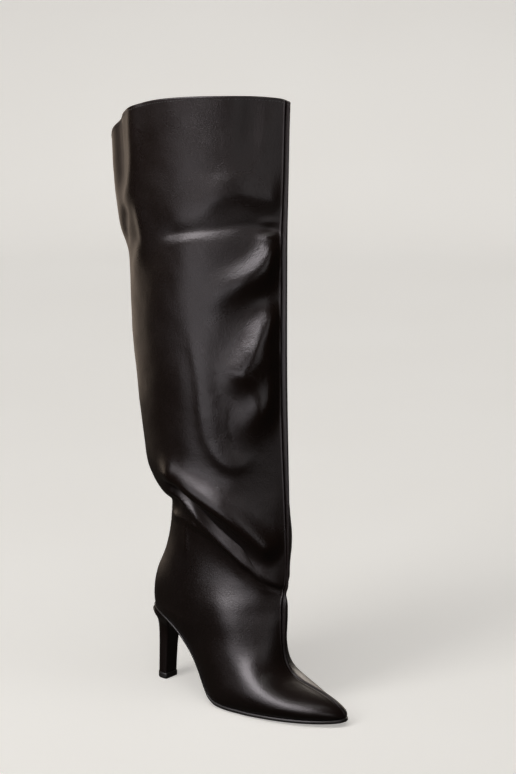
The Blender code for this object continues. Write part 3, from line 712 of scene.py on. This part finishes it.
def upper_leather():
    facing = np.arange(ROWS) >= facing_row()
    outside = np.concatenate([LEG.outside, rim_rows()])
    inside = LEG.inside(np.where(facing, FACING_THICK, LEATHER)[:, None])
    skin = wall(outside, inside)
    obj = object_of("upper_leather", skin.points, skin.faces, leather("upper_leather"), "upper", "upper")
    # how far the folds moved each outer point, in mm, for the leather's wear
    worn = np.zeros(len(skin.points), np.float32)
    for (sheet, r, c), vertex in skin.index.items():
        if sheet == id(outside) and r < ROWS:
            worn[vertex] = LEG.folds[r, c]
    obj.data.attributes.new("fold", "FLOAT", "POINT").data.foreach_set("value", worn)
    return obj


def lining():
    rows = facing_row() // 2
    skin = wall(LEG.inside(LEATHER + LINING_CLEAR)[:rows], LEG.inside(WALL)[:rows])
    return object_of("lining", skin.points, skin.faces, cloth("lining"), "upper")


def collar_line(down):
    """The line round the collar so far under its edge: points and outward directions."""
    points, pushes = [], []
    for c in range(LEG.plain.shape[1] - 1):
        run = LEG.from_rim[::-1, c]
        points.append(read_off(down, run, LEG.outside[::-1, c]))
        pushes.append(read_off(down, run, LEG.out[::-1, c]))
    return np.array(points), unit(np.array(pushes))


def stitch_row(name, points, pushes, material):
    """One mesh of short threads along a closed line, each arching out of the leather and back in."""
    loop, around = np.concatenate([points, points[:1]]), np.concatenate([pushes, pushes[:1]])
    run = run_along(loop)
    count = int(run[-1] / (STITCH_LONG + STITCH_GAP))
    verts, faces = [], []
    for k in range(count):
        start, middle = len(verts), run[-1] * (k + 0.5) / count
        for share in STITCH_RINGS:
            at = middle + share * STITCH_LONG / 2
            place = read_off(at, run, loop)
            out = unit(read_off(at, run, around))
            side = unit(np.cross(out, read_off(at + STITCH_AHEAD, run, loop) - place))
            thick = STITCH_ROUND * (1.0 - share ** 2) ** STITCH_TAPER + STITCH_TIP
            place = place + out * (STITCH_RISE * (1.0 - share ** 2) - STITCH_SUNK)
            for j in range(STITCH_SIDES):
                turn = 2 * np.pi * j / STITCH_SIDES
                verts.append(place + (side * np.cos(turn) + out * np.sin(turn)) * thick)
        faces += tube(len(STITCH_RINGS), STITCH_SIDES, start)
        faces.append(tuple(range(start, start + STITCH_SIDES))[::-1])
        faces.append(tuple(range(len(verts) - STITCH_SIDES, len(verts))))
    return object_of(name, verts, faces, material, "upper")


# --- the sole and the insole ---
def sole_outline(grow):
    """Matching points down both sides of the upper's lower edge, moved outward by grow: (outer, inner)."""
    places = np.concatenate([np.linspace(0.0, 1.0, SOLE_END_STEPS)[:-1] ** 2,
                             np.linspace(1.0, HEEL_ROW - 1.0, SOLE_STEPS)[:-1],
                             HEEL_ROW - np.linspace(1.0, 0.0, SOLE_END_STEPS) ** 2])
    rows = [dict(zip(COLUMNS, section_row(t))) for t in places]
    outer = np.array([[v["line"] - v["sole_out"], v["back_f"]] for v in rows])
    inner = np.array([[v["line"] + v["sole_in"], v["back_f"]] for v in rows])
    loop = np.concatenate([outer, inner[-2:0:-1]])
    shift = np.full(len(places), float(grow))
    if grow < 0:
        near_toe = np.exp(-places / INSET_ROWS)
        near_heel = np.exp((places - HEEL_ROW) / INSET_ROWS)
        shift *= 1.0 + INSET_TOE * near_toe + INSET_HEEL * near_heel
    shift = np.concatenate([shift, shift[-2:0:-1]])
    ahead = np.roll(loop, -1, axis=0) - np.roll(loop, 1, axis=0)
    away = unit(np.stack([-ahead[:, 1], ahead[:, 0]], axis=1))
    if away[0, 1] < 0:
        away = -away
    grown = loop + away * shift[:, None]
    count = len(places)
    return grown[:count], np.concatenate([grown[:1], grown[count:][::-1], grown[count - 1:count]])


FEATHER = np.array([section_row(t)[:2] for t in np.linspace(HEEL_ROW, 0.0, FEATHER_STEPS * HEEL_ROW + 1)]).T


def feather_z(forward):
    """Height of the upper's lower edge at a forward distance."""
    f, z = FEATHER
    behind = f[0] - np.minimum(forward, f[0])
    beyond = np.maximum(forward, f[-1]) - f[-1]
    return np.interp(forward, f, z) + SEAT_SLOPE * behind + TOE_SLOPE * beyond


def sole_top(forward, across):
    return feather_z(forward) - GAP


def sole_bottom(forward, across):
    """Underside: flat across in the waist and seat, hung down to the floor under the forefoot."""
    edge = sole_top(forward, across) - np.interp(forward, SOLE_THINS, (SOLE_WAIST, SOLE_FOREFOOT))
    belly = SOLE_BELLY * np.interp(forward, BELLY_FORWARD, (0.0, 1.0, 1.0, 0.0))
    hung = edge - belly * (1.0 - np.abs(across) ** BELLY_ROUND)
    return np.where(forward > BELLY_FORWARD[0], np.maximum(hung, 0.0), hung)


def insole_top(forward, across):
    return feather_z(forward) + INSOLE_THICK - INSOLE_DISH * (1.0 - across ** 2)


def insole_bottom(forward, across):
    return feather_z(forward)


def plate_layers(grow, top, bottom):
    """The rings of a plate's edge, top first: how far in, and its height function."""
    return [(grow - EDGE_ROUND, top, 0.0), (grow, top, -EDGE_ROUND), (grow, bottom, EDGE_ROUND),
            (grow - EDGE_ROUND, bottom, 0.0)]


def plate(name, grow, top, bottom, material, slot_name, *stands_for):
    """A flat piece with a rounded edge inside the outline grown by grow, between two height functions."""
    across = np.sin(np.linspace(-np.pi / 2, np.pi / 2, PLATE_COLUMNS))
    share = ((across + 1.0) / 2.0)[:, None]
    sheets = []
    for out, height, shift in plate_layers(grow, top, bottom):
        outer, inner = sole_outline(out)
        plan = outer[:, None] * (1 - share) + inner[:, None] * share
        sheets.append(np.dstack([plan, height(plan[..., 1], across) + shift]))
    skin = Skin(joined_on_plate)
    skin.cover(sheets[0])
    skin.cover(sheets[-1], turned=True)
    path = edge_path(sheets[0], len(sheets[0]) - 1)
    for upper, lower in zip(sheets[:-1], sheets[1:]):
        skin.close(upper, path, lower, path)
    return object_of(name, skin.points, skin.faces, material, slot_name, *stands_for)


# --- the heel and its top piece ---
def u_outline(back, front, half):
    """A U in plan: round at the back, straight sides, a flat breast with small round corners."""
    deep = min(ROUND_DEPTH * (front - back), ROUND_TO_WIDTH * half)
    turn = np.linspace(0.0, np.pi, ARC_STEPS + 1)
    arc = np.stack([half * np.cos(turn), back + deep - deep * np.sin(turn)], axis=1)
    bend = np.linspace(0.0, np.pi / 2, CORNER_STEPS)
    corner = np.stack([-half + BREAST_CORNER * (1 - np.cos(bend)),
                       front - BREAST_CORNER * (1 - np.sin(bend))], axis=1)
    side = np.linspace(arc[-1], corner[0], SIDE_PARTS + 1)[1:-1]
    breast = np.linspace(corner[-1], corner[-1] * [-1.0, 1.0], BREAST_PARTS + 1)[1:-1]
    return np.concatenate([arc, side, corner, breast, corner[::-1] * [-1.0, 1.0], side[::-1] * [-1.0, 1.0]])


def stack(name, rings, material, slot_name, *stands_for):
    """A solid through U-shaped rings, bottom first. Strips across the last ring close a curved top."""
    count = len(rings[0])
    points = [point for ring in rings for point in ring]
    faces = tube(len(rings), count)
    faces.append(tuple(reversed(range(count))))
    top, backmost = (len(rings) - 1) * count, ARC_STEPS // 2
    pairs = [(top + (backmost + k) % count, top + (backmost - k) % count) for k in range(count // 2 + 1)]
    for (a, d), (b, c) in zip(pairs[:-1], pairs[1:]):
        faces.append(tuple(dict.fromkeys((a, b, c, d))))
    return object_of(name, points, faces, material, slot_name, *stands_for)


def heel():
    levels = []
    for back_z, front_z, back, front, half in HEEL_LEVELS:
        plan = u_outline(back, front, half)
        lean = (plan[:, 1] - back) / (front - back)
        levels.append(np.column_stack([plan, back_z + (front_z - back_z) * lean]))
    plan = u_outline(*HEEL_TOP)
    levels.append(np.column_stack([plan, sole_bottom(plan[:, 1], 0.0) - GAP - HEEL_CLEAR]))
    levels = np.array(levels)
    steepness = slopes(levels)
    places = np.linspace(0.0, len(levels) - 1, HEEL_RINGS)
    rings = [between(levels, steepness, t) for t in places]
    return stack("heel_cover", rings, leather("heel_leather"), "heel", "heel")


def top_piece():
    back, front, half = LIFT
    rings = []
    for inset, z in LIFT_RINGS:
        plan = u_outline(back + inset, front - inset, half - inset)
        rings.append(np.column_stack([plan, np.full(len(plan), z)]))
    return stack("top_piece_rubber", rings, rubber("top_piece_rubber"), "top_piece", "top_piece")


# --- materials ---
NOISE_USUAL = (0.3, 0.7)
POLISH = -0.02  # roughness for each millimetre that a fold stands out


class Finish:
    """A Principled material and the few node recipes that its pattern is made of."""

    def __init__(self, name, **sockets):
        self.material = bpy.data.materials.new(name)
        self.material.use_nodes = True
        self.tree = self.material.node_tree
        self.shader = self.tree.nodes["Principled BSDF"]
        for socket, value in sockets.items():
            self.shader.inputs[socket.replace("_", " ")].default_value = value
        self.coords = self.tree.nodes.new("ShaderNodeTexCoord").outputs["Object"]

    def node(self, kind, inputs=(), **settings):
        made = self.tree.nodes.new(kind)
        for key, value in settings.items():
            setattr(made, key, value)
        for socket, value in dict(inputs).items():
            if isinstance(value, bpy.types.NodeSocket):
                self.tree.links.new(value, made.inputs[socket])
            else:
                made.inputs[socket].default_value = value
        return made

    def noise(self, scale, detail=3.0, stretch=(1.0, 1.0, 1.0)):
        place = self.node("ShaderNodeMapping", {"Vector": self.coords, "Scale": stretch})
        made = self.node("ShaderNodeTexNoise", {"Vector": place.outputs[0], "Scale": scale, "Detail": detail})
        return made.outputs["Fac"]

    def spread(self, value, low, high):
        """A noise's usual values, laid out from low to high."""
        start, end = NOISE_USUAL
        made = self.node("ShaderNodeMapRange", {"Value": value, "From Min": start, "From Max": end,
                                                "To Min": low, "To Max": high})
        return made.outputs[0]

    def color(self, pattern, dark, light):
        """Makes the base color run from dark to light with the pattern."""
        made = self.node("ShaderNodeMix", data_type="RGBA")
        self.tree.links.new(self.spread(pattern, 0.0, 1.0), made.inputs["Factor"])
        made.inputs["A"].default_value = (*dark, 1.0)
        made.inputs["B"].default_value = (*light, 1.0)
        self.set("Base Color", made.outputs["Result"])

    def maths(self, operation, first, second):
        return self.node("ShaderNodeMath", {0: first, 1: second}, operation=operation).outputs[0]

    def bump(self, height, deep, strength, under=None):
        made = self.node("ShaderNodeBump", {"Height": height, "Distance": deep, "Strength": strength})
        if under is not None:
            self.tree.links.new(under, made.inputs["Normal"])
        return made.outputs["Normal"]

    def set(self, socket, value):
        self.tree.links.new(value, self.shader.inputs[socket])


def leather(name):
    """Smooth black faux leather: fine pebbled grain, patchy gloss, polished ridges and dull troughs."""
    finish = Finish(name, Coat_Weight=0.06, Coat_Roughness=0.40, IOR=1.5)
    finish.color(finish.noise(11.0, 4.0), (0.0076, 0.0036, 0.0026), (0.0116, 0.0058, 0.0042))
    clouds = finish.spread(finish.noise(26.0, 5.0), 0.270, 0.350)
    worn = finish.node("ShaderNodeAttribute", attribute_name="fold").outputs["Fac"]
    polished = finish.maths("MULTIPLY", worn, POLISH)
    finish.set("Roughness", finish.maths("ADD", clouds, polished))
    cells = finish.node("ShaderNodeTexVoronoi", {"Vector": finish.coords, "Scale": 1150.0, "Smoothness": 0.7},
                        feature="SMOOTH_F1").outputs["Distance"]
    pores = finish.bump(cells, 0.00012, 0.6)
    wrinkles = finish.bump(finish.noise(640.0, 4.0), 0.00020, 0.75, pores)
    mottle = finish.bump(finish.noise(190.0, 4.0), 0.00035, 0.30, wrinkles)
    finish.set("Normal", mottle)
    return finish.material


def cloth(name):
    """Dark tricot lining: a fine diagonal rib and a soft nap."""
    finish = Finish(name, Roughness=0.85, Sheen_Weight=0.15)
    rib = finish.node("ShaderNodeTexWave", {"Vector": finish.coords, "Scale": 420.0, "Distortion": 0.6},
                      bands_direction="DIAGONAL").outputs["Fac"]
    finish.color(finish.noise(30.0), (0.020, 0.017, 0.016), (0.040, 0.034, 0.031))
    finish.set("Normal", finish.bump(rib, 0.00012, 0.5))
    return finish.material


def rubber(name):
    """Dense black sole rubber with fine scratches and a dusty bloom."""
    finish = Finish(name, IOR=1.5)
    finish.color(finish.noise(24.0, 5.0), (0.013, 0.012, 0.012), (0.030, 0.027, 0.025))
    scratches = finish.noise(240.0, 3.0, (1.0, 0.15, 1.0))
    finish.set("Roughness", finish.spread(scratches, 0.34, 0.52))
    finish.set("Normal", finish.bump(scratches, 0.00005, 0.3))
    return finish.material


def thread(name):
    """Black polyester thread with a twist along it."""
    finish = Finish(name, Roughness=0.55, Sheen_Weight=0.2)
    twist = finish.noise(900.0, 2.0, (1.0, 1.0, 2.5))
    finish.color(twist, (0.010, 0.009, 0.009), (0.034, 0.031, 0.029))
    finish.set("Normal", finish.bump(twist, 0.0001, 0.6))
    return finish.material


def paper(name):
    """The studio's pale warm floor. It glows a little, so that it is pale under a black boot's lamps."""
    finish = Finish(name, Roughness=0.75, Specular_IOR_Level=0.0, Emission_Color=(1.0, 0.972, 0.93, 1.0),
                    Emission_Strength=PAPER_GLOW)
    finish.color(finish.noise(3.0, 5.0), (0.80, 0.785, 0.755), (0.83, 0.82, 0.795))
    return finish.material


# --- the studio ---
# Lamps stand round the boot: azimuth 0 is in front of the toe and -90 beside the outer side. middle is
# the height of the lamp's middle, and glow its brightness. gloss and spread say whether it shows in
# the leather's reflections and whether it lights the scene.
LAMPS = (
    # name, azimuth, away, middle, width, height, glow, color, gloss, spread
    ("key_high", -99.0, 1.45, 1.60, 0.66, 1.9, 4.2, (1.0, 0.985, 0.96), False, True),
    ("window", -99.0, 3.2, 3.0, 4.8, 4.1, 1.8, (1.0, 0.94, 0.98), True, False),
    ("window_core", -96.0, 3.1, 2.85, 3.4, 3.1, 5.8, (0.99, 0.94, 0.99), True, False),
    ("key_low", -88.0, 1.0, 0.17, 0.85, 0.38, 1.7, (0.99, 0.94, 1.0), True, False),
    ("key_over", -70.0, 1.15, 2.9, 1.3, 1.3, 1.5, (1.0, 0.985, 0.96), True, True),
    ("front_softbox", -38.0, 2.3, 0.42, 0.85, 1.3, 0.75, (1.0, 0.95, 0.98), True, True),
    ("front_over", -35.0, 1.2, 2.7, 1.2, 1.2, 1.4, (1.0, 0.985, 0.96), True, False),
    ("inner_window", 110.0, 2.4, 1.3, 1.7, 2.2, 4.0, (1.0, 0.90, 0.80), True, False),
    ("pale_wall", 170.0, 1.6, 0.9, 1.4, 2.0, 0.60, (1.0, 0.80, 0.64), True, False),
)
SUN = {"strength": 1.25, "angle": 70.0, "tilt": (18.0, -22.0), "color": (1.0, 0.985, 0.965)}
AROUND = (0.030, 0.026, 0.022)
PAPER_GLOW = 0.39
FLOOR_START, FLOOR_FAR = 0.001, 3.7
COVE, WALL_HIGH = 0.9, 5.0  # the floor turns up into a round pale wall far behind the camera's places
ROUND_SIDES, COVE_STEPS = 128, 16
BOOT_MIDDLE = Vector((0.0, -0.07, 0.0))

CAMERA_PLACE = (-1.5162, -1.3306, 0.7427)
CAMERA_YAW, CAMERA_PITCH, CAMERA_ROLL = 0.8951, 0.2163, 0.0049
CAMERA_LENS, CAMERA_SENSOR = 97.674, 36.0


def lamp(name, azimuth, away, middle, width, height, glow, color, gloss, spread):
    """A soft area lamp, turned level to the boot."""
    turn = np.radians(azimuth)
    place = BOOT_MIDDLE + Vector((np.sin(turn) * away, -np.cos(turn) * away, middle))
    aim = BOOT_MIDDLE + Vector((0.0, 0.0, middle))
    light = bpy.data.lights.new(name, "AREA")
    light.shape, light.size, light.size_y = "RECTANGLE", width, height
    light.energy = glow * np.pi * width * height
    light.color = color
    obj = added(name, light)
    obj.location = place
    obj.rotation_euler = (aim - place).to_track_quat("-Z", "Y").to_euler()
    obj.visible_camera = False
    obj.visible_glossy = gloss
    obj.visible_diffuse = spread


def lamps():
    for row in LAMPS:
        lamp(*row)
    sun = bpy.data.lights.new("top_light", "SUN")
    sun.energy, sun.angle, sun.color = SUN["strength"], np.radians(SUN["angle"]), SUN["color"]
    high = added("top_light", sun)
    high.rotation_euler = (np.radians(SUN["tilt"][0]), np.radians(SUN["tilt"][1]), 0.0)
    high.visible_glossy = False
    world = bpy.data.worlds.new("studio")
    world.use_nodes = True
    world.node_tree.nodes["Background"].inputs["Color"].default_value = (*AROUND, 1.0)
    bpy.context.scene.world = world


def round_floor(name, profile):
    """A surface of revolution about the boot: profile is (distance, height) outward from the middle."""
    turn = np.linspace(0.0, 2 * np.pi, ROUND_SIDES, endpoint=False)
    points = [BOOT_MIDDLE + Vector((np.cos(a) * away, np.sin(a) * away, high))
              for away, high in profile for a in turn]
    mesh = bpy.data.meshes.new(name)
    mesh.from_pydata(points, [], tube(len(profile), ROUND_SIDES))
    mesh.shade_smooth()
    mesh.materials.append(paper(name))
    obj = added(name, mesh)
    return obj


def floor():
    """Plain pale paper that turns up into a round wall. Its glow doesn't light the boot or show in it."""
    bend = np.linspace(0.0, np.pi / 2, COVE_STEPS)
    cove = [(FLOOR_FAR - COVE + COVE * np.sin(a), COVE - COVE * np.cos(a)) for a in bend]
    paper_floor = round_floor("floor", [(FLOOR_START, 0.0), *cove, (FLOOR_FAR, WALL_HIGH)])
    paper_floor.visible_glossy = False
    paper_floor.visible_diffuse = False


def camera():
    data = bpy.data.cameras.new("camera")
    data.lens, data.sensor_width = CAMERA_LENS, CAMERA_SENSOR
    obj = added("camera", data)
    yaw, pitch, roll = CAMERA_YAW, CAMERA_PITCH, CAMERA_ROLL
    ahead = Vector((np.cos(pitch) * np.sin(yaw), np.cos(pitch) * np.cos(yaw), -np.sin(pitch)))
    right = Vector((np.cos(yaw), -np.sin(yaw), 0.0))
    up = right.cross(ahead)
    side = right * np.cos(roll) + up * np.sin(roll)
    top = up * np.cos(roll) - right * np.sin(roll)
    turned = Matrix((side, top, -ahead)).transposed().to_4x4()
    obj.matrix_world = Matrix.Translation(CAMERA_PLACE) @ turned
    bpy.context.scene.camera = obj


# --- the boot ---
upper_leather()
lining()
stitch_row("collar_stitches", *collar_line(STITCH_DOWN), thread("collar_stitches"))
plate("insole_sock", -INSOLE_IN, insole_top, insole_bottom, cloth("insole_sock"), "insole", "insole")
plate("outsole_sheet", SOLE_EDGE_OUT, sole_top, sole_bottom, rubber("outsole_sheet"), "outsole", "outsole")
heel()
top_piece()

floor()
lamps()
camera()
bpy.context.scene.view_settings.view_transform = "Standard"
